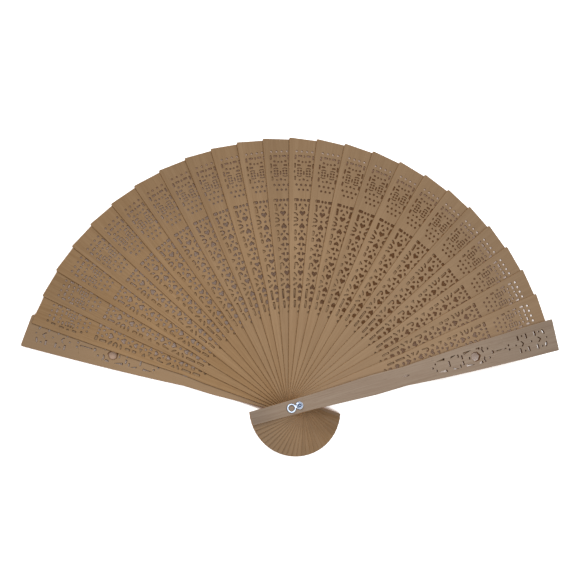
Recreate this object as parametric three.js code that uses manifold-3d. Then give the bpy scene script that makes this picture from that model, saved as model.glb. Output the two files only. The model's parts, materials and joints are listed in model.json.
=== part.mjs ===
// A pierced wooden folding fan, lying open on its back. Millimetres, +Z up.
// The pivot runs along Z through the origin, the rear guard's underside lies in the plane Z = 0,
// and the middle of the open fan points along +Y. Each stick is drawn with its length along +Y
// and is then turned about the pivot to its own place.
import * as THREE from 'three';
import { mergeVertices } from 'three/addons/utils/BufferGeometryUtils.js';
import Module from 'manifold-3d';

// Driving dimensions of the whole fan.
const leafCount = 24;
const spread = 148.9; // degrees between the centre lines of the two guards
const leafReach = 172.6; // from the pivot to a leaf's tip
const headReach = 31.6; // from the pivot to the short end behind it
const leafThickness = 0.6;
const guardThickness = 2.3;
const leafGap = 0.3; // air between neighbouring sticks, where the ribbon lies

// The ribbon is not evenly drawn, so the leaves stand a little off an even spread, by a mean and
// three waves along the fan. Degrees; a wave's crest and length are counted in sticks.
const slackMean = 0.5;
const slackWaves = [
  { swing: 0.25, crest: 0, length: 50 },
  { swing: 0.32, crest: 2, length: 12 },
  { swing: 0.2, crest: 6, length: 7.5 },
];

// Levels in the stack, from the rear guard up to the rivet's dome.
const layerPitch = leafThickness + leafGap;
const firstLeafLevel = guardThickness + leafGap;
const frontGuardLevel = firstLeafLevel + leafCount * layerPitch;
const linkLevel = frontGuardLevel + guardThickness + leafGap;

// Widths along a leaf, as half widths at distances from the pivot.
const leafBlade = {
  reach: leafReach,
  headHalf: 4.5,
  neckAt: 8,
  neckHalf: 5.1,
  shoulderAt: 58,
  shoulderHalf: 6.45,
  waistAt: 74,
  waistHalf: 6.25,
  flareAt: 115,
  flareHalf: 8.9,
  tipHalf: 10.3,
};

// The guards reach a little past the leaves and have a lower shoulder.
const guardBlade = {
  reach: leafReach + 2.6,
  headHalf: 4.4,
  neckAt: 8,
  neckHalf: 4.8,
  shoulderAt: 50,
  shoulderHalf: 6.5,
  waistAt: 71,
  waistHalf: 6.15,
  flareAt: 110,
  flareHalf: 9.05,
  tipHalf: 10.4,
};
const tipSlant = 1.2; // how much further the left corner of a tip reaches than the right
const tipCorner = 1; // size of the eased corners

// Distances of a leaf's openings from the pivot. The upper panel holds the rosettes.
const leafRow = {
  upperSlots: 158.6,
  rosettes: 150.8,
  dashes: 132.5,
  shoulderSlots: 128,
  upperHeart: 123.9,
  petals: 119.6,
  upperSpade: 115.8,
  middleSlots: 111.4,
  risingHeart: 107.8,
  upperBlocks: 103.7,
  pointers: 100.8,
  lowerBlocks: 97.5,
  middleHeart: 93.3,
  lowerHeart: 85.2,
  lowerSpade: 76.7,
  footSlots: 72,
  bud: 68.8,
  foot: 60.5,
};

// Distances of a guard's openings from the pivot: a cartouche, a line and a tip panel.
const guardRow = {
  leafSlot: 71.3,
  firstWedges: 95.6,
  crossSlot: 100.9,
  secondWedges: 104.6,
  innerSlots: 110.1,
  thirdWedges: 114.5,
  hexagon: 119.4,
  brackets: 125.6,
  lineSlot: 136.3,
  lineDots: 142.2,
  tipSlots: [149.5, 155.3, 161.5, 167.4],
  tipMarks: [151.8, 163.5],
};
const slotEase = 0.3; // how much shorter a side slot is along its outer side

// Pivot fittings.
const shankRadius = 1.2;
const stickBore = 1.6;
const rearHead = { radius: 2.6, thickness: 0.6 };
const rearWasher = { radius: 3, bore: 1.5, thickness: 0.5 };
const dome = { radius: 1.9, height: 0.9, clearance: 0.2 };
const link = { thickness: 0.8, ring: 2.45, bore: 1.55, eye: 2.95, eyeBore: 1.9, reach: 5.3, neck: 1.8 };

// The ribbon that ties the sticks together, a short length to each stick.
const ribbon = { at: 136, width: 3.6, thickness: 0.15, margin: 0.5 };

const curveSteps = 4;
const boreSteps = 12;
const roundSteps = 24;

const leafWood = { color: 0x9c7a55, roughness: 0.62, metalness: 0 };
const guardWood = { color: 0x957d6a, roughness: 0.58, metalness: 0 };
const bareMetal = { color: 0xd7dbe0, roughness: 0.18, metalness: 1 };
const satin = { color: 0xb59a72, roughness: 0.7, metalness: 0 };

const degrees = THREE.MathUtils.degToRad;
const point = (across, along) => new THREE.Vector2(across, along);

// ---- Outlines ------------------------------------------------------------------------------

// Corner points up one side of a stick, from its head to just below the tip.
function sidePoints(blade) {
  const flare = new THREE.QuadraticBezierCurve(
    point(blade.waistHalf, blade.waistAt),
    point(blade.flareHalf, blade.flareAt),
    point(blade.tipHalf, blade.reach - tipCorner),
  );
  return [
    point(blade.headHalf, -Math.sqrt(headReach ** 2 - blade.headHalf ** 2)),
    point(blade.neckHalf, blade.neckAt),
    point(blade.shoulderHalf, blade.shoulderAt),
    ...flare.getPoints(curveSteps),
  ];
}

// The closed outline of a stick, anticlockwise from the right corner of its head.
function stickOutline(blade) {
  const right = sidePoints(blade);
  const left = sidePoints(blade).reverse();
  right.at(-1).y -= tipSlant / 2;
  left[0].y += tipSlant / 2;
  left.forEach((corner) => { corner.x = -corner.x; });
  const tipRight = point(blade.tipHalf - tipCorner, blade.reach - tipSlant / 2);
  const tipLeft = point(tipCorner - blade.tipHalf, blade.reach + tipSlant / 2);
  return new THREE.Shape([...right, tipRight, tipLeft, ...left, point(0, -headReach)]);
}

// ---- Openings ------------------------------------------------------------------------------

// A straight slot whose side away from the stick's centre line may be shorter.
const bar = (halfWidth, halfLength, shorter = 0) => [
  point(halfWidth, halfLength - shorter),
  point(-halfWidth, halfLength),
  point(-halfWidth, -halfLength),
  point(halfWidth, shorter - halfLength),
];

const diamond = (halfWidth, halfLength) => [
  point(halfWidth, 0),
  point(0, halfLength),
  point(-halfWidth, 0),
  point(0, -halfLength),
];

// A triangle on the right of the centre line, with its point towards that line.
const wedge = (halfWidth, halfLength) => [
  point(-halfWidth, 0),
  point(halfWidth, -halfLength),
  point(halfWidth, halfLength),
];

// A long triangle that is wide at its far end and runs to a point towards the pivot.
const taper = (halfWidth, halfLength) => [
  point(0, -halfLength),
  point(halfWidth, halfLength),
  point(-halfWidth, 0.8 * halfLength),
];

// Two strokes that meet in a point away from the pivot.
const chevron = (halfWidth, halfLength, stroke) => [
  point(0, halfLength),
  point(-halfWidth, -halfLength + stroke),
  point(-halfWidth, -halfLength),
  point(0, halfLength - stroke),
  point(halfWidth, -halfLength),
  point(halfWidth, -halfLength + stroke),
];

// A heart with its point towards the pivot, or away from it when the length is negative.
const heart = (halfWidth, halfLength) => [
  point(0, -halfLength),
  point(halfWidth, 0.35 * halfLength),
  point(0.5 * halfWidth, halfLength),
  point(0, 0.6 * halfLength),
  point(-0.5 * halfWidth, halfLength),
  point(-halfWidth, 0.35 * halfLength),
];

const round = (radius, steps) => Array.from({ length: steps }, (_, step) => {
  const angle = (2 * Math.PI * step) / steps;
  return point(radius * Math.cos(angle), radius * Math.sin(angle));
});

// One opening centred on the stick.
function centred(along, outline) {
  return new THREE.Path(outline.map((corner) => point(corner.x, corner.y + along)));
}

// The same opening on both sides of the centre line.
function paired(across, along, outline) {
  return [1, -1].map((side) => new THREE.Path(
    outline.map((corner) => point(side * (corner.x + across), corner.y + along)),
  ));
}

function leafOpenings() {
  return [
    ...paired(5.7, leafRow.upperSlots, bar(0.5, 1.6, slotEase)),
    ...paired(2.9, leafRow.rosettes, round(1.8, 6)),
    ...paired(4.2, leafRow.dashes, diamond(1.5, 1)),
    ...paired(4.3, leafRow.shoulderSlots, bar(0.7, 2.2, slotEase)),
    centred(leafRow.upperHeart, heart(1.9, 1.6)),
    ...paired(3.7, leafRow.petals, wedge(1, 1.7)),
    centred(leafRow.upperSpade, heart(1.8, -1.9)),
    ...paired(4.1, leafRow.middleSlots, bar(0.5, 1.6, slotEase)),
    centred(leafRow.risingHeart, heart(1.8, -1.5)),
    ...paired(1.8, leafRow.upperBlocks, wedge(-1.2, 1.2)),
    ...paired(3.6, leafRow.pointers, wedge(0.9, 1.3)),
    ...paired(1.8, leafRow.lowerBlocks, wedge(-1.2, 1.2)),
    centred(leafRow.middleHeart, heart(1.9, 1.5)),
    centred(leafRow.lowerHeart, heart(1.9, 1.9)),
    centred(leafRow.lowerSpade, heart(1.7, -1.9)),
    ...paired(3.2, leafRow.footSlots, bar(0.6, 3.1, slotEase)),
    centred(leafRow.bud, diamond(1.3, 1.5)),
    centred(leafRow.foot, diamond(1.3, 1)),
  ];
}

function guardOpenings() {
  return [
    centred(guardRow.leafSlot, diamond(0.5, 2.9)),
    ...paired(3.5, guardRow.firstWedges, taper(0.7, 3.1)),
    centred(guardRow.crossSlot, bar(1.9, 0.5)),
    ...paired(3.5, guardRow.secondWedges, taper(0.7, 2.1)),
    ...paired(1.9, guardRow.innerSlots, diamond(1.3, 0.6)),
    ...paired(3.7, guardRow.thirdWedges, taper(0.8, 3)),
    centred(guardRow.hexagon, round(3.2, 6)),
    ...paired(3.2, guardRow.brackets, diamond(1.7, 0.7)),
    centred(guardRow.lineSlot, bar(0.3, 4.3)),
    ...paired(1.4, guardRow.lineDots, diamond(0.7, 0.7)),
    ...guardRow.tipSlots.flatMap((along) => paired(4.3, along, diamond(1.7, 0.6))),
    ...guardRow.tipMarks.map((along) => centred(along, chevron(1.6, 1.1, 0.9))),
  ];
}

// ---- Solids --------------------------------------------------------------------------------

// A flat plate with its underside at Z = 0.
function plate(shape, thickness, steps = curveSteps) {
  return new THREE.ExtrudeGeometry(shape, { depth: thickness, bevelEnabled: false, curveSegments: steps });
}

function stickPlate(blade, openings, thickness) {
  const outline = stickOutline(blade);
  outline.holes = [new THREE.Path(round(stickBore, boreSteps)), ...openings];
  return plate(outline, thickness);
}

// A solid of revolution about Z, from radius and height pairs.
function turned(profile) {
  const corners = profile.map(([radius, height]) => point(radius, height));
  return new THREE.LatheGeometry(corners, roundSteps).rotateX(Math.PI / 2);
}

const wasm = await Module();
wasm.setup();

function toManifold(geometry) {
  const bare = geometry.clone();
  bare.deleteAttribute('normal');
  bare.deleteAttribute('uv');
  const merged = mergeVertices(bare);
  const triVerts = Uint32Array.from(merged.index.array);
  return new wasm.Manifold(
    new wasm.Mesh({ numProp: 3, vertProperties: merged.attributes.position.array, triVerts }),
  );
}

function subtract(geometry, cutter) {
  const mesh = toManifold(geometry).subtract(toManifold(cutter)).getMesh();
  const result = new THREE.BufferGeometry();
  result.setAttribute('position', new THREE.BufferAttribute(mesh.vertProperties, 3));
  result.setIndex(new THREE.BufferAttribute(mesh.triVerts, 1));
  return result.toNonIndexed();
}

// The rear guard has a recess under its bore, so that the rivet's flat head sits flush.
function rearGuardPlate() {
  const recessDepth = rearHead.thickness + rearWasher.thickness;
  const recess = new THREE.Shape(round(rearWasher.radius + leafGap, roundSteps));
  const overrun = 1;
  const cutter = plate(recess, recessDepth + overrun).translate(0, 0, -overrun);
  return subtract(stickPlate(guardBlade, guardOpenings(), guardThickness), cutter);
}

// Flat rear head, long shank and domed front head, in one piece.
function rivet() {
  const domeLevel = linkLevel + link.thickness + dome.clearance;
  const domeRim = 0.3;
  const domeArc = Array.from({ length: curveSteps }, (_, step) => {
    const angle = (Math.PI / 2) * (step / curveSteps);
    return [dome.radius * Math.cos(angle), domeLevel + domeRim + (dome.height - domeRim) * Math.sin(angle)];
  });
  return turned([
    [0, 0],
    [rearHead.radius, 0],
    [rearHead.radius, rearHead.thickness],
    [shankRadius, rearHead.thickness],
    [shankRadius, domeLevel],
    [dome.radius, domeLevel],
    ...domeArc,
    [0, domeLevel + dome.height],
  ]);
}

function washer() {
  const top = rearHead.thickness + rearWasher.thickness;
  return turned([
    [rearWasher.bore, rearHead.thickness],
    [rearWasher.radius, rearHead.thickness],
    [rearWasher.radius, top],
    [rearWasher.bore, top],
    [rearWasher.bore, rearHead.thickness],
  ]);
}

// A flat figure eight: a small ring round the rivet and a larger eye for a cord.
function tasselLink() {
  const halfNeck = link.neck / 2;
  const ringTurn = Math.asin(halfNeck / link.ring);
  const eyeTurn = Math.asin(halfNeck / link.eye);
  const outline = new THREE.Shape();
  outline.absarc(0, 0, link.ring, Math.PI / 2 + ringTurn, Math.PI * 2.5 - ringTurn, false);
  outline.absarc(0, link.reach, link.eye, eyeTurn - Math.PI / 2, Math.PI * 1.5 - eyeTurn, false);
  outline.closePath();
  const eyeBore = round(link.eyeBore, roundSteps).map((corner) => point(corner.x, corner.y + link.reach));
  outline.holes = [new THREE.Path(round(link.bore, roundSteps)), new THREE.Path(eyeBore)];
  return plate(outline, link.thickness, boreSteps);
}

// Half the width of a leaf where the ribbon crosses it.
function ribbonHalfLength() {
  const share = (ribbon.at - leafBlade.waistAt) / (leafBlade.reach - leafBlade.waistAt);
  return THREE.MathUtils.lerp(leafBlade.waistHalf, leafBlade.tipHalf, share) - ribbon.margin;
}

function ribbonLength() {
  const outline = bar(ribbonHalfLength(), ribbon.width / 2);
  return plate(new THREE.Shape(outline), ribbon.thickness).translate(0, ribbon.at, 0);
}

// ---- Placing -------------------------------------------------------------------------------

// How far a stick is turned from +Y, in degrees. Sticks count from 0, the rear guard, to
// leafCount + 1, the front guard.
function stickTurn(index) {
  const even = spread / 2 - (spread * index) / (leafCount + 1);
  const isGuard = index === 0 || index === leafCount + 1;
  const slack = slackWaves.reduce(
    (sum, wave) => sum + wave.swing * Math.cos((2 * Math.PI * (index - wave.crest)) / wave.length),
    slackMean,
  );
  return isGuard ? even : even + slack;
}

function add(group, name, geometry, look, turn, level) {
  const mesh = new THREE.Mesh(geometry, new THREE.MeshStandardMaterial(look));
  mesh.name = name;
  mesh.rotation.z = degrees(turn);
  mesh.position.z = level;
  group.add(mesh);
}

function build() {
  const fan = new THREE.Group();
  fan.name = 'hand_fan';
  const leaf = stickPlate(leafBlade, leafOpenings(), leafThickness);
  const frontGuard = stickPlate(guardBlade, guardOpenings(), guardThickness);
  const tape = ribbonLength();
  const frontTurn = stickTurn(leafCount + 1);

  add(fan, 'rear_guard', rearGuardPlate(), guardWood, stickTurn(0), 0);
  for (let index = 1; index <= leafCount; index += 1) {
    const number = String(index).padStart(2, '0');
    const level = firstLeafLevel + (index - 1) * layerPitch;
    add(fan, `leaf_${number}`, leaf, leafWood, stickTurn(index), level);
    add(fan, `ribbon_${number}`, tape, satin, stickTurn(index), level - ribbon.thickness);
  }
  add(fan, 'front_guard', frontGuard, guardWood, frontTurn, frontGuardLevel);
  add(fan, 'ribbon_front', tape, satin, frontTurn, frontGuardLevel - ribbon.thickness);

  add(fan, 'pivot_rivet', rivet(), bareMetal, 0, 0);
  add(fan, 'rear_washer', washer(), bareMetal, 0, 0);
  add(fan, 'tassel_link', tasselLink(), bareMetal, frontTurn + 184, linkLevel);
  return fan;
}

export default build();
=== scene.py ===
"""The looks of a pierced wooden folding fan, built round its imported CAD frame.

Every stick is drawn flat in millimetres, with x across the stick, y along it and the pivot at the
origin. It is then made into a solid plate and turned to its own place in the open fan.
"""
import json
import math
import random

import bpy
from mathutils import Matrix, Vector
from mathutils.geometry import tessellate_polygon


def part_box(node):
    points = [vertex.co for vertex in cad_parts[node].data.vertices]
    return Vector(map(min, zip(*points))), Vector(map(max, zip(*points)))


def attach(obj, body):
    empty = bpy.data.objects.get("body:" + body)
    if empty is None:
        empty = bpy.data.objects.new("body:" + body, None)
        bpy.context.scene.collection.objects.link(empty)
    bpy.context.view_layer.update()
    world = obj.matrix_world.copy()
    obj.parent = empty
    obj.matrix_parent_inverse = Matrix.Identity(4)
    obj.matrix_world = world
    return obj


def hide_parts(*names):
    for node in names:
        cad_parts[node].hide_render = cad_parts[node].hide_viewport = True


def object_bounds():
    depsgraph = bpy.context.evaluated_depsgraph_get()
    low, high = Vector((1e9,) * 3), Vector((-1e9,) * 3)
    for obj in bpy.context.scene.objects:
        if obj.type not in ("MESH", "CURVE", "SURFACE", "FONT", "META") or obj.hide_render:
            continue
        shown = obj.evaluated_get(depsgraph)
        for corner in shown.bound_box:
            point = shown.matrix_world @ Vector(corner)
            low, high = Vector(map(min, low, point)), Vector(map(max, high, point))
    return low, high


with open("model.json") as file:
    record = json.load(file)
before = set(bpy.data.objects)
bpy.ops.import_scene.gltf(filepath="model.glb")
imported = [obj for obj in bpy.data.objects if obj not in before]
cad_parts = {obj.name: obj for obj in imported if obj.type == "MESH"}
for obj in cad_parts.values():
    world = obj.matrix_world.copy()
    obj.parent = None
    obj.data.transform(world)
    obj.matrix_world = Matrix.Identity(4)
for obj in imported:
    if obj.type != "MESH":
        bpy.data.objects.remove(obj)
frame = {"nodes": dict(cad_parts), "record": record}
cad_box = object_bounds()

MM = 0.001
UP = Vector((0, 0, 1))

# ---- Places, from the frame ----------------------------------------------------------------

behaviour = frame["record"]["behaviour"]
fold = next(joint for joint in behaviour["joints"] if joint["name"] == "fan_fold")
SPREAD = fold["range_deg"][1] - fold["range_deg"][0]
FOLD_SHARES = {coupling["joint"]: coupling["ratio"] for coupling in behaviour["couplings"]}
LEAF_NAMES = sorted(name for name in frame["nodes"] if name.startswith("leaf_"))


def level(node):
    """Height of a node's underside, in millimetres."""
    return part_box(node)[0].z / MM


def height(node):
    """Thickness of a node, in millimetres."""
    low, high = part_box(node)
    return (high.z - low.z) / MM


def turn(stick):
    """Degrees anticlockwise from +Y to a stick's centre line in the open fan."""
    if stick == "rear_guard":
        share = 0
    elif stick == "front_guard":
        share = 1
    else:
        share = FOLD_SHARES[stick + "_fold"]
    return SPREAD / 2 - share * SPREAD


# ---- Sizes in millimetres ------------------------------------------------------------------

HEAD_REACH = 31.6  # from the pivot to the round end behind it
STICK_BORE = 1.6  # radius
TIP_SLANT = 1.2  # how much further the left corner of a tip reaches than the right
TIP_CORNER = 1.0
# Half widths, and how far from the pivot each of them is. The edge curves from the waist to the tip.
LEAF_BLADE = {
    "reach": 172.6, "head": 4.5, "neck_at": 8.0, "neck": 5.1, "shoulder_at": 58.0, "shoulder": 6.45,
    "waist_at": 74.0, "waist": 6.25, "flare_at": 115.0, "flare": 8.9, "tip": 10.3,
}
GUARD_BLADE = {
    "reach": 175.2, "head": 4.4, "neck_at": 8.0, "neck": 4.8, "shoulder_at": 50.0, "shoulder": 6.5,
    "waist_at": 71.0, "waist": 6.15, "flare_at": 110.0, "flare": 9.05, "tip": 10.4,
}
EDGE_EASE = 0.12  # width of the worn edge round every face and opening
CUT_TAPER = 0.84  # an opening's size at the underside, as a share of its size on top
CUT_WORN = 0.94  # the same just below the worn edge of its top
RIVET_RECESS = 3.3  # radius of the recess for the rivet's head in the rear guard's underside
RIVET_RECESS_DEPTH = 1.1
LINK_REST = 184.0  # degrees from the front guard's length to the link's eye, as it hangs at rest
RIBBON_AT = 136.0  # from the pivot to the middle of the ribbon's width

# A plate's materials: its two faces, its outer edge and the walls of its openings.
FACE_SLOT, EDGE_SLOT, CUT_SLOT = 0, 1, 2

# ---- Outlines ------------------------------------------------------------------------------


def eased_corner(before, corner, after, ease, steps=3):
    """The points of a corner rounded by a short curve that starts ease away from it."""
    most_of_a_side = 0.45
    corner = Vector(corner)
    to_before = Vector(before) - corner
    to_after = Vector(after) - corner
    start = corner + to_before.normalized() * min(ease, to_before.length * most_of_a_side)
    end = corner + to_after.normalized() * min(ease, to_after.length * most_of_a_side)
    shares = [step / steps for step in range(steps + 1)]
    return [tuple(start * (1 - t) ** 2 + corner * 2 * t * (1 - t) + end * t ** 2) for t in shares]


def eased(corners, ease, steps=3):
    """A closed outline with every corner rounded."""
    outline = []
    for index, corner in enumerate(corners):
        after = corners[(index + 1) % len(corners)]
        outline += eased_corner(corners[index - 1], corner, after, ease, steps)
    return outline


def oval(half_across, half_along=None, steps=14):
    """An oval, or a circle where only its radius is given."""
    half_along = half_along or half_across
    angles = [math.tau * step / steps for step in range(steps)]
    return [(half_across * math.cos(a), half_along * math.sin(a)) for a in angles]


def slot(half_across, half_along, lean=0.0, bow=0.0):
    """A bar with round ends. It leans outwards by lean at its far end, and bow moves its middle out."""
    roundness = 0.9
    corners = [
        (half_across, -half_along), (half_across + bow, 0), (half_across, half_along),
        (-half_across, half_along), (-half_across + bow, 0), (-half_across, -half_along),
    ]
    corners = [(x + lean * y / half_along, y) for x, y in corners]
    return eased(corners, ease=min(half_across, half_along) * roundness)


def heart(half_across, half_along):
    """A heart with its point towards the pivot, or a spade with a negative length."""
    widest_at = 0.25 * half_along
    lobe = 0.62 * half_across
    cleft = 0.5 * half_along
    corners = [
        (0, -half_along), (half_across, widest_at), (lobe, half_along),
        (0, cleft), (-lobe, half_along), (-half_across, widest_at),
    ]
    return eased(corners, ease=0.55)


def triangle(half_across, half_along):
    """A triangle with its point away from the pivot."""
    corners = [(half_across, -half_along), (0, half_along), (-half_across, -half_along)]
    return eased(corners, ease=0.5)


def wedge(half_across, half_along, drop=0.0):
    """A triangle with its point towards the centre line, lowered by drop."""
    corners = [(-half_across, -drop), (half_across, -half_along), (half_across, half_along)]
    return eased(corners, ease=0.5)


def crescent(half_across, half_along, stroke):
    """A curved slot like a letter C that opens outwards."""
    back = 0.45 * half_along
    inner_back = 0.9 * stroke - half_across
    inner_arm = 0.2 * half_across
    corners = [
        (half_across, half_along), (0, half_along), (-half_across, back),
        (-half_across, -back), (0, -half_along), (half_across, -half_along),
        (half_across, stroke - half_along), (inner_arm, stroke - half_along),
        (inner_back, 0),
        (inner_arm, half_along - stroke), (half_across, half_along - stroke),
    ]
    return eased(corners, ease=0.35, steps=2)


def arc_slot(radius, middle, sweep, stroke):
    """Part of a ring round its own origin. Angles in degrees from +x."""
    steps = 6
    angles = [math.radians(middle + sweep * (step / steps - 0.5)) for step in range(steps + 1)]
    outer, inner = radius + stroke / 2, radius - stroke / 2
    outer_side = [(outer * math.cos(a), outer * math.sin(a)) for a in angles]
    inner_side = [(inner * math.cos(a), inner * math.sin(a)) for a in angles]
    return outer_side + inner_side[::-1]


def chevron(half_across, half_along, stroke):
    """Two strokes that meet in a point away from the pivot."""
    corners = [
        (0, half_along), (-half_across, stroke - half_along), (-half_across, -half_along),
        (0, half_along - stroke), (half_across, -half_along), (half_across, stroke - half_along),
    ]
    return eased(corners, ease=0.3, steps=2)


def hook():
    """A hooked slot: a round head near the centre line and a long tail down its outer side."""
    corners = [
        (-1.3, 0.1), (-0.6, 1.3), (0.7, 1.6), (1.6, 0.8), (1.75, -3.2),
        (1.0, -3.2), (0.75, -0.4), (0.2, -0.1), (-0.5, -0.9), (-1.2, -0.7),
    ]
    return eased(corners, ease=0.4, steps=2)


def centred(along, *shapes):
    """Openings on the centre line."""
    return [[(x, y + along) for x, y in shape] for shape in shapes]


def paired(across, along, *shapes):
    """Openings on both sides of the centre line, as mirror images."""
    return [
        [(side * (x + across), y + along) for x, y in shape]
        for side in (1, -1)
        for shape in shapes
    ]


def aimed(across, along, half_across, half_along, angle):
    """A pair of ovals whose long axis is turned by angle degrees, like petals."""
    turned = math.radians(angle)
    shape = [
        (x * math.cos(turned) - y * math.sin(turned), x * math.sin(turned) + y * math.cos(turned))
        for x, y in oval(half_across, half_along)
    ]
    return paired(across, along, shape)


def stick_outline(blade):
    """A stick's outline, anticlockwise: head, right side, tip, left side."""
    flare_steps, head_steps = 10, 6
    waist = Vector((blade["waist"], blade["waist_at"]))
    flare = Vector((blade["flare"], blade["flare_at"]))
    tip = Vector((blade["tip"], blade["reach"]))
    side = [Vector((blade["neck"], blade["neck_at"])), Vector((blade["shoulder"], blade["shoulder_at"]))]
    for step in range(flare_steps):
        t = step / flare_steps
        side.append(waist * (1 - t) ** 2 + flare * 2 * t * (1 - t) + tip * t ** 2)
    right = [tuple(point) for point in side]
    left = [(-x, y) for x, y in reversed(right)]

    tip_middle = (0, tip.y)
    right_corner = (tip.x, tip.y - TIP_SLANT / 2)
    left_corner = (-tip.x, tip.y + TIP_SLANT / 2)
    right_tip = eased_corner(right[-1], right_corner, tip_middle, TIP_CORNER)
    left_tip = eased_corner(tip_middle, left_corner, left[0], TIP_CORNER)

    half_turn = math.asin(blade["head"] / HEAD_REACH)
    angles = [half_turn * (2 * step / head_steps - 1) for step in range(head_steps + 1)]
    head = [(HEAD_REACH * math.sin(angle), -HEAD_REACH * math.cos(angle)) for angle in angles]
    return head + right + right_tip + left_tip + left


# ---- Openings ------------------------------------------------------------------------------


def rosette(across, along):
    """Four petals between two arcs, on each side of the centre line."""
    petal_spread, petal_radius = 1.3, 0.7
    ring_radius, ring_sweep, ring_stroke = 2.7, 70, 0.62
    petals = []
    for petal_turn in (45, 135, 225, 315):
        angle = math.radians(petal_turn)
        x, y = petal_spread * math.cos(angle), petal_spread * math.sin(angle)
        petals.append([(x + px, y + py) for px, py in oval(petal_radius, steps=10)])
    ring = [arc_slot(ring_radius, middle, ring_sweep, ring_stroke) for middle in (90, 270)]
    return paired(across, along, *petals, *ring)


def upper_panel():
    """The panel between the plain band and the tip, with two rosettes."""
    return [
        *paired(1.7, 164.4, oval(0.78)),
        *paired(5.15, 164.4, oval(0.78)),
        *centred(161.1, oval(0.6, 0.85)),
        *paired(2.75, 161.3, slot(1.3, 0.66)),
        *paired(5.8, 160.5, slot(0.6, 1.45)),
        *paired(3.6, 157.9, oval(0.8, 0.7)),
        *paired(1.1, 157.5, oval(0.66)),
        *paired(3.4, 155.3, slot(1.2, 0.56)),
        *paired(5.95, 155.0, slot(0.55, 1.6)),
        *rosette(2.9, 150.7),
        *centred(150.3, slot(0.46, 1.2)),
        *paired(6.1, 150.9, oval(0.56, 0.9)),
        *paired(5.6, 146.7, slot(0.62, 1.4)),
        *centred(146.0, oval(0.76)),
        *paired(2.3, 145.6, wedge(0.85, 0.75)),
        *paired(1.5, 142.4, oval(0.78)),
        *paired(4.5, 142.4, oval(0.78)),
        *centred(139.3, oval(0.74)),
        *paired(2.85, 139.3, oval(0.74)),
    ]


def lower_panel():
    """The long panel between the foot of the piercing and the plain band."""
    bell = [(1.4, -1.45), (1.3, 0.6), (0, 1.7), (-1.3, 0.6), (-1.4, -1.45)]
    return [
        *paired(1.07, 132.5, oval(0.82, 0.9)),
        *paired(4.2, 132.5, slot(1.5, 0.98)),
        *aimed(1.9, 129.3, 0.68, 1.05, 35),
        *paired(4.45, 127.9, slot(0.8, 2.3, lean=0.2)),
        *centred(127.4, triangle(1.15, 0.9)),
        *centred(123.9, heart(2.1, 1.85)),
        *aimed(4.1, 123.3, 0.7, 1.7, -55),
        *centred(119.5, oval(0.8)),
        *paired(4.0, 119.7, crescent(1.5, 1.6, 0.95)),
        *aimed(4.1, 116.1, 0.7, 1.7, -110),
        *centred(115.8, heart(1.95, -2.05)),
        *centred(111.9, triangle(1.15, -0.9)),
        *paired(4.25, 111.4, slot(0.74, 1.7, bow=-0.2)),
        *aimed(1.85, 110.3, 0.66, 1.0, 35),
        *centred(107.6, heart(1.85, -1.55)),
        *paired(4.0, 107.1, slot(0.85, 1.4)),
        *paired(1.9, 103.7, wedge(-1.35, 1.25, drop=0.3)),
        *centred(100.7, oval(0.82)),
        *paired(3.5, 100.7, wedge(1.2, 1.4)),
        *paired(1.9, 97.6, wedge(-1.35, 1.2, drop=-0.2)),
        *aimed(3.9, 95.2, 0.75, 1.25, 15),
        *centred(93.5, heart(2.0, 1.55)),
        *paired(2.5, 90.7, hook()),
        *centred(89.2, triangle(1.4, 1.0)),
        *centred(85.2, heart(1.95, 1.95)),
        *aimed(3.15, 84.1, 0.62, 1.7, -38),
        *centred(80.9, oval(0.82)),
        *paired(3.3, 81.0, wedge(1.05, 1.3)),
        *aimed(3.15, 77.9, 0.62, 1.65, -125),
        *centred(76.8, heart(1.8, -2.0)),
        *centred(73.1, oval(1.2, 0.9)),
        *paired(3.3, 72.0, slot(0.68, 3.25)),
        *centred(68.7, eased(bell, 0.7)),
        *paired(2.9, 65.2, slot(0.66, 2.5)),
        *centred(63.7, oval(0.82, 1.25)),
        *centred(60.2, oval(1.3, 0.92)),
    ]


def guard_cartouche():
    """The openings over the middle of a guard, from the thin leaf slot to the small oval."""
    leaf_slot = eased([(0, -2.9), (0.6, 0.6), (0, 2.9), (-0.6, 0.6)], 0.5)
    tapered = [(-0.2, -3.2), (0.85, 3.1), (-0.75, 2.7)]
    hexagon = [(1.5, -3.3), (3.2, -1.2), (2.9, 1.4), (0, 3.4), (-2.9, 1.4), (-3.2, -1.2), (-1.5, -3.3)]
    return [
        *centred(71.3, leaf_slot),
        *centred(89.6, oval(0.7)),
        *paired(2.1, 91.8, oval(0.65)),
        *paired(3.7, 95.8, eased(tapered, 0.3)),
        *centred(101.0, slot(1.9, 0.6)),
        *paired(3.7, 104.6, eased([(-0.75, -2.1), (0.6, -1.6), (0.8, 2.1)], 0.3)),
        *paired(3.3, 107.8, slot(1.05, 0.5)),
        *paired(1.9, 110.1, slot(1.35, 0.6)),
        *paired(3.9, 114.5, eased([(-0.9, -2.8), (0.8, -3.0), (0.9, 3.0)], 0.35)),
        *centred(114.9, slot(0.9, 0.42)),
        *centred(119.4, eased(hexagon, 0.5)),
        *paired(4.4, 122.0, eased([(-0.2, -1.5), (0.8, -1.5), (0.85, 1.2), (-0.7, 0.9)], 0.3)),
        *paired(3.2, 126.2, arc_slot(2.0, 270, 110, 1.0)),
        *paired(3.0, 128.1, oval(0.7)),
        *centred(130.9, oval(1.1, 0.9)),
    ]


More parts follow.
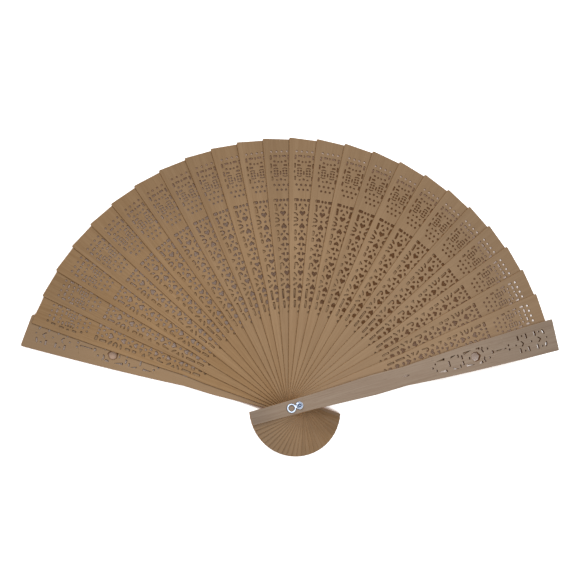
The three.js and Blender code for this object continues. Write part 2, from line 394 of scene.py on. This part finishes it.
def guard_tip_panel():
    """The openings from the thin line to the tip of a guard."""
    return [
        *centred(136.6, slot(0.3, 4.1)),
        *paired(1.4, 142.2, oval(0.72)),
        *centred(147.2, oval(0.62)),
        *paired(4.1, 149.5, slot(1.6, 0.62)),
        *paired(4.9, 152.5, oval(0.55)),
        *centred(151.8, chevron(1.75, 1.15, 0.95)),
        *paired(4.2, 155.3, slot(1.65, 0.62)),
        *centred(158.1, oval(0.6)),
        *paired(4.3, 161.5, slot(1.65, 0.64)),
        *paired(4.8, 164.5, oval(0.58)),
        *centred(163.6, chevron(1.8, 1.4, 1.05)),
        *aimed(4.1, 167.4, 1.8, 0.66, -18),
        *centred(168.8, oval(0.5)),
    ]


# ---- Meshes --------------------------------------------------------------------------------


def clockwise(loop):
    """A closed outline run clockwise, as the wall of an opening has to be."""
    signed_area = sum(a[0] * b[1] - b[0] * a[1] for a, b in zip(loop, loop[1:] + loop[:1])) / 2
    return loop if signed_area < 0 else loop[::-1]


def inset(loop, distance):
    """Moves a closed outline towards the side on its left."""
    least_widening = 0.6  # keeps the corners of narrow shapes from running away
    moved = []
    for index, corner in enumerate(loop):
        corner = Vector(corner)
        before = (corner - Vector(loop[index - 1])).normalized()
        after = (Vector(loop[(index + 1) % len(loop)]) - corner).normalized()
        left = Vector((-before.y - after.y, before.x + after.x)).normalized()
        widening = max(left.dot(Vector((-before.y, before.x))), least_widening)
        moved.append(tuple(corner + left * (distance / widening)))
    return moved


def edge_wall(loop, profile):
    """The rings up the side of a plate. The profile lists (distance into the material, height) steps."""
    return [[(x, y, z) for x, y in inset(loop, distance)] for distance, z in profile]


def cut_wall(loop, thickness):
    """The rings up a sawn opening. It is drawn as it shows on top, and tapers towards the underside."""
    middle = sum((Vector(corner) for corner in loop), Vector((0, 0))) / len(loop)
    rings = []
    for size, z in ((CUT_TAPER, 0), (CUT_WORN, thickness - EDGE_EASE), (1, thickness)):
        corners = [middle + (Vector(corner) - middle) * size for corner in clockwise(loop)]
        rings.append([(x, y, z) for x, y in corners])
    return rings


def bore_wall(loop, profile):
    """The rings up a bore of the size drawn, with the profile's edge."""
    return edge_wall(clockwise(loop), profile)


def recessed_bore_wall(thickness):
    """The rings up the rear guard's bore, with the recess for the rivet's head in its underside."""
    levels = [
        (RIVET_RECESS, 0), (RIVET_RECESS, RIVET_RECESS_DEPTH),
        (STICK_BORE, RIVET_RECESS_DEPTH), (STICK_BORE, thickness),
    ]
    return [[(x, y, z) for x, y in clockwise(oval(radius, steps=40))] for radius, z in levels]


def wall_faces(start, end, size):
    """The faces between rings of size points each, from vertex start up to vertex end."""
    faces = []
    for low in range(start, end - size, size):
        for index in range(size):
            after = (index + 1) % size
            faces.append((low + index, low + after, low + after + size, low + index + size))
    return faces


def cap_faces(vertices, rims, facing):
    """The faces between a plate's rims, which are lists of vertices. Facing is 1 for up, -1 for down."""
    corners = [index for rim in rims for index in rim]
    flat = [[Vector((vertices[index][0], vertices[index][1], 0)) / MM for index in rim] for rim in rims]
    faces = []
    for triangle_corners in tessellate_polygon(flat):
        a, b, c = (corners[index] for index in triangle_corners)
        first_side = Vector(vertices[b][:2]) - Vector(vertices[a][:2])
        second_side = Vector(vertices[c][:2]) - Vector(vertices[a][:2])
        faces.append((a, b, c) if first_side.cross(second_side) * facing > 0 else (a, c, b))
    return faces


def plate_mesh(name, edge, cuts):
    """A closed plate from its edge's wall and the wall of each opening, underside to top."""
    vertices, faces = [], []
    undersides, tops = [], []
    for rings in (edge, *cuts):
        start, size = len(vertices), len(rings[0])
        for ring in rings:
            vertices += [(x * MM, y * MM, z * MM) for x, y, z in ring]
        faces += wall_faces(start, len(vertices), size)
        undersides.append(range(start, start + size))
        tops.append(range(len(vertices) - size, len(vertices)))
    first_cut = (len(edge) - 1) * len(edge[0])
    first_cap = len(faces)
    faces += cap_faces(vertices, undersides, -1)
    faces += cap_faces(vertices, tops, 1)
    mesh = smooth_mesh(name, vertices, faces)
    for polygon in mesh.polygons:
        if polygon.index < first_cut:
            polygon.material_index = EDGE_SLOT
        elif polygon.index < first_cap:
            polygon.material_index = CUT_SLOT
        else:
            polygon.material_index = FACE_SLOT
    return mesh


def smooth_mesh(name, vertices, faces, sharp_degrees=32):
    """A mesh that is smooth except where it bends by more than the given angle."""
    mesh = bpy.data.meshes.new(name)
    mesh.from_pydata(vertices, [], faces)
    mesh.update()
    mesh.shade_smooth()
    mesh.set_sharp_from_angle(angle=math.radians(sharp_degrees))
    return mesh


def eased_profile(thickness):
    """The edge of a sawn plate with its corners lightly worn."""
    return [(EDGE_EASE, 0), (0, EDGE_EASE), (0, thickness - EDGE_EASE), (EDGE_EASE, thickness)]


def round_profile(thickness):
    """A nearly half-round edge, as on cast and polished metal."""
    half = thickness / 2
    flatness, steps = 0.9, 8
    angles = [math.pi * step / steps for step in range(steps + 1)]
    return [(half * (1 - math.sin(a)) * flatness, half * (1 - math.cos(a))) for a in angles]


def turned_mesh(name, profile):
    """A solid of revolution about Z from (radius, height) pairs that start and end on the axis."""
    steps = 64
    rim = profile[1:-1]
    vertices = [(0, 0, profile[0][1] * MM), (0, 0, profile[-1][1] * MM)]
    for radius, z in rim:
        for step in range(steps):
            angle = math.tau * step / steps
            vertices.append((radius * math.cos(angle) * MM, radius * math.sin(angle) * MM, z * MM))
    faces = []
    first, last = 2, 2 + (len(rim) - 1) * steps
    for step in range(steps):
        after = (step + 1) % steps
        faces.append((0, first + after, first + step))
        faces.append((1, last + step, last + after))
        for low in range(first, last, steps):
            faces.append((low + step, low + after, low + after + steps, low + step + steps))
    return smooth_mesh(name, vertices, faces)


# ---- Materials -----------------------------------------------------------------------------

# How often each kind of mark repeats in a metre: across the stick, along it and through it.
STREAKS = (1500, 30, 500)
BANDS = (260, 7, 90)
CLOUDS = (70, 28, 70)
PORES = (4200, 170, 1500)
BURNS = (2600, 2600, 500)
SCORCHES = (300, 300, 300)
WIPE_MARKS = (9000, 900, 4000)
SPOTS = (700, 700, 700)
WEAR = (300, 300, 300)
MOTTLE = (6, 6, 6)


def srgb(red, green, blue):
    """A colour from its 0 to 255 screen values, by the standard screen curve."""
    values = [channel / 255 for channel in (red, green, blue)]
    return [v / 12.92 if v <= 0.04045 else ((v + 0.055) / 1.055) ** 2.4 for v in values] + [1.0]


def node(tree, kind, inputs=None, **settings):
    """Adds a node. An input is given as a value, or as the output socket that feeds it."""
    made = tree.nodes.new("ShaderNode" + kind)
    for key, value in settings.items():
        setattr(made, key, value)
    for key, value in (inputs or {}).items():
        if isinstance(value, bpy.types.NodeSocket):
            tree.links.new(value, made.inputs[key])
        else:
            made.inputs[key].default_value = value
    return made


def stretched_noise(tree, vector, scale, detail):
    """Noise with its own scale on each axis, in cycles per metre."""
    placed = node(tree, "Mapping", {"Vector": vector, "Scale": scale}).outputs[0]
    settings = {"Vector": placed, "Scale": 1.0, "Detail": detail, "Roughness": 0.55}
    return node(tree, "TexNoise", settings).outputs["Fac"]


def ranged(tree, value, low, high, to_low=0.0, to_high=1.0):
    """Maps a value from one range to another, smoothly and without overshoot."""
    limits = {"Value": value, "From Min": low, "From Max": high, "To Min": to_low, "To Max": to_high}
    return node(tree, "MapRange", limits, interpolation_type="SMOOTHSTEP").outputs["Result"]


def maths(tree, operation, first, second=0.0):
    """One sum or function of two values. A function of one value leaves the second out."""
    return node(tree, "Math", {0: first, 1: second}, operation=operation).outputs[0]


def mixed(tree, share, first, second, blend="MIX"):
    """Mixes two colours."""
    made = node(tree, "Mix", {0: share, 6: first, 7: second}, data_type="RGBA", blend_type=blend)
    return made.outputs[2]


def bumped(tree, height, strength, depth):
    """A surface raised by a pattern, by up to depth in metres."""
    return node(tree, "Bump", {"Height": height, "Strength": strength, "Distance": depth}).outputs[0]


def new_material(name):
    """A material with its node tree and its main shader."""
    material = bpy.data.materials.new(name)
    material.use_nodes = True
    tree = material.node_tree
    return material, tree, tree.nodes["Principled BSDF"]


def wood_material(name, pale, dark, stain, roughness, grain_strength):
    """Fine straight-grained wood, with its grain along the stick, darker towards the tip and the head.

    A piece's own colour holds its brightness, how far it is stained, and its place in the grain.
    """
    material, tree, shader = new_material(name)
    place = node(tree, "TexCoord").outputs["Object"]
    own_colour = node(tree, "ObjectInfo").outputs["Color"]
    brightness, stained, seed = node(tree, "SeparateColor", {0: own_colour}).outputs
    shift = node(tree, "CombineXYZ", {"X": seed, "Y": seed, "Z": seed}).outputs[0]
    shifted = node(tree, "VectorMath", {0: place, 1: shift}, operation="ADD").outputs[0]
    streaks = stretched_noise(tree, shifted, STREAKS, detail=4)
    bands = stretched_noise(tree, shifted, BANDS, detail=3)
    clouds = stretched_noise(tree, shifted, CLOUDS, detail=2)
    pores = ranged(tree, stretched_noise(tree, shifted, PORES, detail=1), 0.60, 0.72)

    streak_share, band_share, most_cloud, most_pore = 0.55, 0.45, 0.25, 0.2
    pore_brown = srgb(88, 62, 40)
    streak_part = maths(tree, "MULTIPLY", streaks, streak_share)
    grain = maths(tree, "ADD", streak_part, maths(tree, "MULTIPLY", bands, band_share))
    colour = mixed(tree, ranged(tree, grain, 0.30, 0.70), dark, pale)
    colour = mixed(tree, ranged(tree, clouds, 0.3, 0.7, 0.0, most_cloud), colour, dark)
    colour = mixed(tree, maths(tree, "MULTIPLY", pores, most_pore), colour, pore_brown)
    colour = mixed(tree, stained, colour, stain)

    # Darker towards the tip and towards the head: the colour is scaled down there.
    darkened_tip, darkened_head = 0.82, 0.80
    along = node(tree, "SeparateXYZ", {0: place}).outputs["Y"]
    tip_darkening = ranged(tree, along, 0.100, 0.170, 1.0, darkened_tip)
    head_darkening = ranged(tree, along, -0.030, -0.008, darkened_head, 1.0)
    brightness = maths(tree, "MULTIPLY", brightness, maths(tree, "MULTIPLY", tip_darkening, head_darkening))
    shade = node(tree, "CombineColor", {0: brightness, 1: brightness, 2: brightness}).outputs[0]
    colour = mixed(tree, 1.0, colour, shade, "MULTIPLY")

    pore_depth, smoother, rougher = 0.4, 0.06, 0.08
    relief = maths(tree, "SUBTRACT", streaks, maths(tree, "MULTIPLY", pores, pore_depth))
    gloss = ranged(tree, grain, 0.3, 0.7, roughness + rougher, roughness - smoother)
    tree.links.new(colour, shader.inputs["Base Color"])
    tree.links.new(gloss, shader.inputs["Roughness"])
    tree.links.new(bumped(tree, relief, grain_strength, depth=0.0002), shader.inputs["Normal"])
    shader.inputs["Specular IOR Level"].default_value = 0.3
    return material


def cut_material(name, pale, dark):
    """The edges of the wood, browned by the beam that cut them, darkened further with painted shade, and
    streaked from top to bottom.
    """
    material, tree, shader = new_material(name)
    place = node(tree, "TexCoord").outputs["Object"]
    burns = stretched_noise(tree, place, BURNS, detail=3)
    scorches = stretched_noise(tree, place, SCORCHES, detail=2)
    colour = mixed(tree, ranged(tree, burns, 0.35, 0.65), dark, pale)
    colour = mixed(tree, ranged(tree, scorches, 0.35, 0.7, 0.0, 0.5), colour, dark)
    tree.links.new(colour, shader.inputs["Base Color"])
    tree.links.new(ranged(tree, burns, 0.3, 0.7, 0.85, 0.7), shader.inputs["Roughness"])
    tree.links.new(bumped(tree, burns, strength=0.3, depth=0.0001), shader.inputs["Normal"])
    shader.inputs["Specular IOR Level"].default_value = 0.2
    return material


def metal_material(name, pale, dark):
    """Plated steel with fine wipe marks and faint spots."""
    material, tree, shader = new_material(name)
    place = node(tree, "TexCoord").outputs["Object"]
    wiped = stretched_noise(tree, place, WIPE_MARKS, detail=2)
    spots = stretched_noise(tree, place, SPOTS, detail=3)
    colour = mixed(tree, ranged(tree, spots, 0.4, 0.75), pale, dark)
    tree.links.new(colour, shader.inputs["Base Color"])
    tree.links.new(ranged(tree, wiped, 0.3, 0.7, 0.24, 0.36), shader.inputs["Roughness"])
    tree.links.new(bumped(tree, wiped, strength=0.12, depth=0.00002), shader.inputs["Normal"])
    shader.inputs["Metallic"].default_value = 1.0
    return material


def thread_waves(tree, place, direction):
    """The ridges of parallel threads, counted along the given axis."""
    threads_per_metre = 2634.4
    bands_per_metre_at_scale_one = 20 / math.tau
    scale = threads_per_metre / bands_per_metre_at_scale_one
    settings = {"Vector": place, "Scale": scale, "Distortion": 0.6}
    return node(tree, "TexWave", settings, bands_direction=direction).outputs["Fac"]


def ribbon_material():
    """A fine plain weave of satin thread, a little worn."""
    material, tree, shader = new_material("ribbon_weave")
    thread_dark, thread_pale, worn_brown = srgb(150, 118, 78), srgb(196, 166, 120), srgb(140, 108, 72)
    place = node(tree, "TexCoord").outputs["Object"]
    weave = maths(tree, "MULTIPLY", thread_waves(tree, place, "X"), thread_waves(tree, place, "Y"))
    worn = stretched_noise(tree, place, WEAR, detail=3)
    colour = mixed(tree, ranged(tree, weave, 0.1, 0.8), thread_dark, thread_pale)
    colour = mixed(tree, ranged(tree, worn, 0.4, 0.7, 0.0, 0.35), colour, worn_brown)
    tree.links.new(colour, shader.inputs["Base Color"])
    tree.links.new(bumped(tree, weave, strength=0.6, depth=0.00005), shader.inputs["Normal"])
    shader.inputs["Roughness"].default_value = 0.62
    shader.inputs["Sheen Weight"].default_value = 0.3
    return material


def open_sky_over_floor(tree, place):
    """How much sky the floor sees, raw and as it counts for the light that comes in from the side.

    The sticks lie higher towards the right, so more light reaches the floor from the side there,
    and the second value is lower. Under the rear guard it is never more than that of dull shade.
    """
    reach_of_shade, most_side_light, dull_shade = 0.03, 0.3, 0.34
    open_sky = node(tree, "AmbientOcclusion", {"Distance": reach_of_shade}, samples=24).outputs["AO"]
    east, north = node(tree, "SeparateXYZ", {0: place}).outputs[:2]
    beyond_the_pivot = ranged(tree, north, 0.005, 0.02)
    short_of_the_tip = ranged(tree, north, 0.036, 0.040, 1.0, 0.0)

    turned = maths(tree, "ARCTANGENT", maths(tree, "DIVIDE", east, north))
    side_light = ranged(tree, turned, math.radians(-20), math.radians(45), 0.0, most_side_light)
    side_light = maths(tree, "MULTIPLY", side_light, beyond_the_pivot)

    off_the_guard = maths(tree, "ABSOLUTE", maths(tree, "ADD", turned, math.radians(SPREAD / 2)))
    under_the_guard = ranged(tree, off_the_guard, math.radians(2), math.radians(3.5), 1.0, 0.0)
    under_the_guard = maths(tree, "MULTIPLY", under_the_guard, short_of_the_tip)
    under_the_guard = maths(tree, "MULTIPLY", under_the_guard, beyond_the_pivot)
    most_open = ranged(tree, under_the_guard, 0.0, 1.0, 1.0, dull_shade)

    open_above = maths(tree, "SUBTRACT", open_sky, side_light)
    return open_sky, maths(tree, "MINIMUM", open_above, most_open)


def floor_material():
    """Matt white board with painted shade: bright in the open, painted brown under the fan, and painted
    lilac where some light gets in.

    Light gets in close under the lowest sticks and near the fan's edge.
    """
    material, tree, shader = new_material("white_board")
    # Painted shade colours for the board under the fan, and a painted glow there that is weaker than the
    # even white glow in the open.
    deep_shade, half_shade = srgb(128, 92, 60), srgb(188, 172, 162)
    glow_in_shade, glow_in_daylight = 0.3, 0.85
    place = node(tree, "TexCoord").outputs["Object"]
    mottle = stretched_noise(tree, place, MOTTLE, detail=4)
    white = mixed(tree, ranged(tree, mottle, 0.3, 0.7), srgb(244, 244, 244), srgb(248, 248, 248))
    # Masks for where the board is painted with shade, from how much sky it sees.
    open_sky, open_above = open_sky_over_floor(tree, place)
    close_under = ranged(tree, open_sky, 0.10, 0.28, 1.0, 0.0)
    near_the_edge = ranged(tree, open_above, 0.28, 0.42)
    daylight = ranged(tree, open_above, 0.46, 0.58)
    half_lit = maths(tree, "MAXIMUM", close_under, near_the_edge)
    shaded = mixed(tree, half_lit, deep_shade, half_shade)
    colour = mixed(tree, daylight, shaded, white)
    glow = ranged(tree, daylight, 0.0, 1.0, glow_in_shade, glow_in_daylight)
    tree.links.new(colour, shader.inputs["Base Color"])
    tree.links.new(colour, shader.inputs["Emission Color"])
    tree.links.new(glow, shader.inputs["Emission Strength"])
    shader.inputs["Roughness"].default_value = 0.9
    return material


# ---- Pieces --------------------------------------------------------------------------------


def add(name, mesh, body, replaced, degrees=0.0):
    """Puts a piece on the pivot's axis at its CAD node's height, and ties it to its CAD body."""
    piece = bpy.data.objects.new(name, mesh)
    bpy.context.scene.collection.objects.link(piece)
    lift = Matrix.Translation(UP * level(replaced) * MM)
    piece.matrix_world = lift @ Matrix.Rotation(math.radians(degrees), 4, "Z")
    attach(piece, body)
    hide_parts(replaced)
    return piece


def with_materials(mesh, *materials):
    """Gives a mesh its materials."""
    for material in materials:
        mesh.materials.append(material)
    return mesh


def leaf_tones():
    """Each leaf's brightness, greying and place in the grain. Leaves nearer the front are greyer."""
    front_greying = 0.5
    chooser = random.Random(24)
    tones = {}
    for count, name in enumerate(LEAF_NAMES):
        greyed = front_greying * count / len(LEAF_NAMES) + chooser.uniform(0.0, 0.08)
        tones[name] = (chooser.uniform(0.96, 1.03), greyed, chooser.random(), 1.0)
    return tones


def add_leaves(wood, edge, cut):
    """The leaves lie closer than in the CAD: they nearly fill the gap that the ribbon runs through."""
    air = 0.01
    pitch = level(LEAF_NAMES[1]) - level(LEAF_NAMES[0])
    thickness = pitch - height("ribbon_front") - air
    profile = eased_profile(thickness)
    cuts = [bore_wall(oval(STICK_BORE, steps=24), profile)]
    cuts += [cut_wall(loop, thickness) for loop in (*lower_panel(), *upper_panel())]
    mesh = plate_mesh("leaf", edge_wall(stick_outline(LEAF_BLADE), profile), cuts)
    with_materials(mesh, wood, edge, cut)
    tones = leaf_tones()
    for name in LEAF_NAMES:
        piece = add(name.replace("leaf", "leaf_wood"), mesh, name, name, turn(name))
        piece.color = tones[name]


def add_guard(name, bore, tone, wood, edge, cut):
    """A guard from the wall of its bore. The tone is its brightness, staining and place in the grain."""
    thickness = height(name)
    outer_wall = edge_wall(stick_outline(GUARD_BLADE), eased_profile(thickness))
    cuts = [cut_wall(loop, thickness) for loop in (*guard_cartouche(), *guard_tip_panel())]
    mesh = with_materials(plate_mesh(name, outer_wall, [bore, *cuts]), wood, edge, cut)
    piece = add(name + "_wood", mesh, name, name, turn(name))
    piece.color = (*tone, 1.0)


def add_guards(*materials):
    """The rear guard is browner than the front one, which has greyed with handling."""
    front_bore = bore_wall(oval(STICK_BORE, steps=24), eased_profile(height("front_guard")))
    rear_bore = recessed_bore_wall(height("rear_guard"))
    add_guard("front_guard", front_bore, (1.0, 0.0, 0.37), *materials)
    add_guard("rear_guard", rear_bore, (1.0, 0.9, 0.71), *materials)


def ribbon_mesh():
    """A length of ribbon across a stick, with corded edges and a slight ripple."""
    half_width, half_length, thickness = 1.8, 8.7, height("ribbon_front")
    steps_across, steps_along = 24, 40
    ripple, ripple_length, ripple_skew, cord = 0.012, 1.9, 3, 0.02
    vertices, faces = [], []
    for on_top in (False, True):
        for row in range(steps_across + 1):
            share = row / steps_across
            y = RIBBON_AT + half_width * (2 * share - 1)
            sunk = cord if row in (0, steps_across) else 0.0
            for column in range(steps_along + 1):
                x = half_length * (2 * column / steps_along - 1)
                wave = ripple * (1 + math.sin(math.tau * x / ripple_length + ripple_skew * share))
                z = (thickness - sunk - wave) if on_top else (sunk + wave)
                vertices.append((x * MM, y * MM, z * MM))
    row_size = steps_along + 1
    top = len(vertices) // 2
    for row in range(steps_across):
        for a in range(row * row_size, row * row_size + steps_along):
            faces.append((a, a + row_size, a + row_size + 1, a + 1))
            faces.append((top + a, top + a + 1, top + a + row_size + 1, top + a + row_size))
    rim = list(range(row_size))
    rim += [row * row_size + steps_along for row in range(1, steps_across + 1)]
    rim += [steps_across * row_size + column for column in range(steps_along - 1, -1, -1)]
    rim += [row * row_size for row in range(steps_across - 1, 0, -1)]
    for corner, after in zip(rim, rim[1:] + rim[:1]):
        faces.append((corner, after, top + after, top + corner))
    return smooth_mesh("ribbon", vertices, faces, sharp_degrees=60)


def add_ribbons(weave):
    """One length of ribbon under each leaf and under the front guard."""
    mesh = with_materials(ribbon_mesh(), weave)
    for name in LEAF_NAMES:
        piece_name = name.replace("leaf", "ribbon_weave")
        add(piece_name, mesh, name, name.replace("leaf", "ribbon"), turn(name))
    add("ribbon_weave_front", mesh, "front_guard", "ribbon_front", turn("front_guard"))


def add_rivet(bright, dish_shade):
    """A flat rear head, a long shank and a rolled front rim with a small dot in its dish."""
    shank, head, head_thickness, rim, rim_gap = 1.2, 2.6, 0.6, 1.9, 0.2
    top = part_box("pivot_rivet")[1].z / MM
    rim_foot = level("tassel_link") + height("tassel_link") + rim_gap
    rear_head = [
        (0, 0), (head - 0.2, 0), (head, 0.15), (head, 0.5), (head - 0.1, head_thickness),
        (shank, head_thickness),
    ]
    # The roll is given as (in from the rim, down from the top), the dot as (radius, down from the top).
    roll = [(0.03, 0.45), (0.18, 0.18), (0.42, 0.05), (0.68, 0.12), (0.88, 0.4)]
    dot = [(0.72, 0.55), (0.6, 0.5), (0.48, 0.25), (0.28, 0.08), (0, 0)]
    profile = [
        *rear_head,
        (shank, rim_foot), (rim - 0.1, rim_foot), (rim, rim_foot + 0.15),
        *[(rim - inwards, top - down) for inwards, down in roll],
        *[(radius, top - down) for radius, down in dot],
    ]
    mesh = with_materials(turned_mesh("pivot_rivet", profile), bright, dish_shade)
    # The dish inside the rolled rim gets the darker metal as painted shade.
    dish_radius, dish_depth = 1.06, 0.2
    for polygon in mesh.polygons:
        middle = polygon.center / MM
        in_dish = middle.xy.length < dish_radius and rim_foot < middle.z < top - dish_depth
        polygon.material_index = 1 if in_dish else 0
    add("pivot_rivet_metal", mesh, "rear_guard", "pivot_rivet")


def metal_plate(name, outline, bores, profile, metal):
    """A plate of one metal all over."""
    mesh = plate_mesh(name, edge_wall(outline, profile), [bore_wall(bore, profile) for bore in bores])
    mesh.polygons.foreach_set("material_index", [FACE_SLOT] * len(mesh.polygons))
    return with_materials(mesh, metal)


def add_washer(metal):
    """A flat ring under the rivet's rear head."""
    radius, bore = 3.0, 1.5
    profile = eased_profile(height("rear_washer"))
    mesh = metal_plate("rear_washer", oval(radius, steps=64), [oval(bore, steps=48)], profile, metal)
    add("rear_washer_metal", mesh, "rear_guard", "rear_washer")


def ring_arc(radius, along, neck, facing):
    """The round of a ring with its gap for a neck centred on the direction facing, in radians."""
    steps = 32
    half_gap = math.asin(neck / 2 / radius)
    sweep = math.tau - 2 * half_gap
    angles = [facing + half_gap + sweep * step / steps for step in range(steps + 1)]
    return [(radius * math.cos(angle), along + radius * math.sin(angle)) for angle in angles]


def add_link(metal):
    """A figure eight of round wire: a small ring round the rivet and a larger eye for a cord."""
    ring, ring_bore, eye, eye_bore, reach, neck = 2.45, 1.55, 2.95, 1.9, 5.3, 1.8
    outline = ring_arc(ring, 0, neck, math.pi / 2) + ring_arc(eye, reach, neck, -math.pi / 2)
    bores = [oval(ring_bore, steps=40), *centred(reach, oval(eye_bore, steps=48))]
    mesh = metal_plate("tassel_link", outline, bores, round_profile(height("tassel_link")), metal)
    hanging = turn("front_guard") + LINK_REST
    add("tassel_link_metal", mesh, "tassel_link", "tassel_link", hanging)


def add_pieces():
    """The whole fan in its materials."""
    leaf_wood = wood_material(
        "leaf_wood", pale=srgb(153, 120, 81), dark=srgb(136, 103, 65), stain=srgb(145, 122, 98),
        roughness=0.62, grain_strength=0.3,
    )
    guard_wood = wood_material(
        "guard_wood", pale=srgb(145, 126, 107), dark=srgb(131, 110, 91), stain=srgb(144, 114, 80),
        roughness=0.5, grain_strength=0.25,
    )
    # Outer edges: scorched brown, with painted shade that gives warm shadow lines between the sticks.
    edge_burnt_and_shaded = cut_material("edge_burnt_and_shaded", pale=srgb(148, 107, 64), dark=srgb(122, 85, 48))
    # Walls of the openings: charred brown, made darker still as painted shade, so the openings look deep
    # and shadowed.
    burnt_and_shaded_cut = cut_material("burnt_and_shaded_cut", pale=srgb(116, 82, 52), dark=srgb(90, 60, 36))
    bright_metal = metal_material("bright_metal", pale=srgb(190, 202, 220), dark=srgb(160, 172, 192))
    # Darker metal for the rivet's dish: painted shade for the hollow inside its rolled rim.
    dish_shade_metal = metal_material("dish_shade_metal", pale=srgb(96, 106, 126), dark=srgb(78, 88, 108))
    add_leaves(leaf_wood, edge_burnt_and_shaded, burnt_and_shaded_cut)
    add_guards(guard_wood, edge_burnt_and_shaded, burnt_and_shaded_cut)
    add_ribbons(ribbon_material())
    add_rivet(bright_metal, dish_shade_metal)
    add_washer(bright_metal)
    add_link(bright_metal)


# ---- Stage ---------------------------------------------------------------------------------


def add_floor():
    """A square board just under the fan."""
    half, gap = 3.0, 0.0002
    z = cad_box[0].z - gap
    mesh = bpy.data.meshes.new("floor")
    corners = [(-half, -half, z), (half, -half, z), (half, half, z), (-half, half, z)]
    mesh.from_pydata(corners, [], [(0, 1, 2, 3)])
    floor = bpy.data.objects.new("floor", with_materials(mesh, floor_material()))
    bpy.context.scene.collection.objects.link(floor)


def add_light(name, place, size, power, colour):
    """A round soft light aimed at the middle of the fan. Place and size in metres."""
    aim = Vector((0, 0.07, 0))
    data = bpy.data.lights.new(name, "AREA")
    data.shape = "DISK"
    data.size = size
    data.energy = power
    data.color = colour
    lamp = bpy.data.objects.new(name, data)
    lamp.location = place
    lamp.rotation_euler = (Vector(place) - aim).to_track_quat("Z", "Y").to_euler()
    bpy.context.scene.collection.objects.link(lamp)


def add_lights():
    """A wide light overhead, and a warmer one from the upper left that casts the soft shadows."""
    add_light("overhead", place=(0.3, 0.1, 1.5), size=1.6, power=17.0, colour=(0.97, 0.98, 1.0))
    add_light("key", place=(-1.2, 1.5, 1.9), size=0.9, power=24.0, colour=(1.0, 0.985, 0.95))


def add_world(strength):
    """Even white light from all round."""
    world = bpy.data.worlds.new("studio")
    world.use_nodes = True
    backdrop = world.node_tree.nodes["Background"]
    backdrop.inputs["Color"].default_value = (1.0, 1.0, 1.0, 1.0)
    backdrop.inputs["Strength"].default_value = strength
    bpy.context.scene.world = world


def add_camera():
    """Looks down on the open fan from its lower left, with +Y up in the picture."""
    azimuth, elevation, distance, focal_length = math.radians(-54.0), math.radians(78.1), 0.9, 88.23
    aim = Vector((-0.00516, 0.07511, 0.015))
    level_reach = math.cos(elevation)
    back = Vector((
        math.sin(azimuth) * level_reach, -math.cos(azimuth) * level_reach, math.sin(elevation),
    ))
    right = Vector((0, 1, 0)).cross(back).normalized()
    up = back.cross(right)
    facing = Matrix((right, up, back)).transposed().to_4x4()
    data = bpy.data.cameras.new("camera")
    data.lens = focal_length
    camera = bpy.data.objects.new("camera", data)
    camera.matrix_world = Matrix.Translation(aim + back * distance) @ facing
    bpy.context.scene.collection.objects.link(camera)
    bpy.context.scene.camera = camera


add_pieces()
add_floor()
add_lights()
add_world(strength=0.355)
add_camera()
bpy.context.scene.view_settings.view_transform = "Standard"
